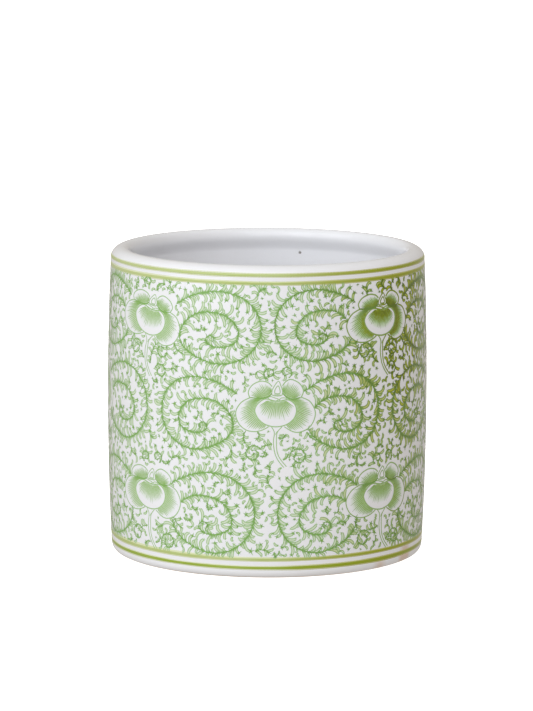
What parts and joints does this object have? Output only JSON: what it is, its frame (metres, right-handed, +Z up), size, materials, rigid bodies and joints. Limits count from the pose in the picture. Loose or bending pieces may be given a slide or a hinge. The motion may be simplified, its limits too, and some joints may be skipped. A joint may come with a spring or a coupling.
{
  "type": "brush holder pot",
  "caption": "Wide cylindrical porcelain pot with a rounded, inward-thickened lip, luted floor disc and foot ring, for standing brushes and pens upright.",
  "frame": {"origin": "centre of the standing plane, where the foot ring rests", "axes": "+Z up along the pot's axis; the front of the pot faces -Y; +X to the right seen from the front"},
  "size_m": [0.165, 0.165, 0.158],
  "materials": {
    "glazed_porcelain": "gloss clear glaze over white porcelain",
    "bare_porcelain": "unglazed, matt, faintly pink-beige",
    "green_print": "leaf-green transfer print and lime-green bands fused on the glaze"
  },
  "bodies": {
    "root": {"body_wall": "glazed_porcelain", "floor_disc": "glazed_porcelain", "foot_ring": "bare_porcelain"}
  },
  "joints": []
}
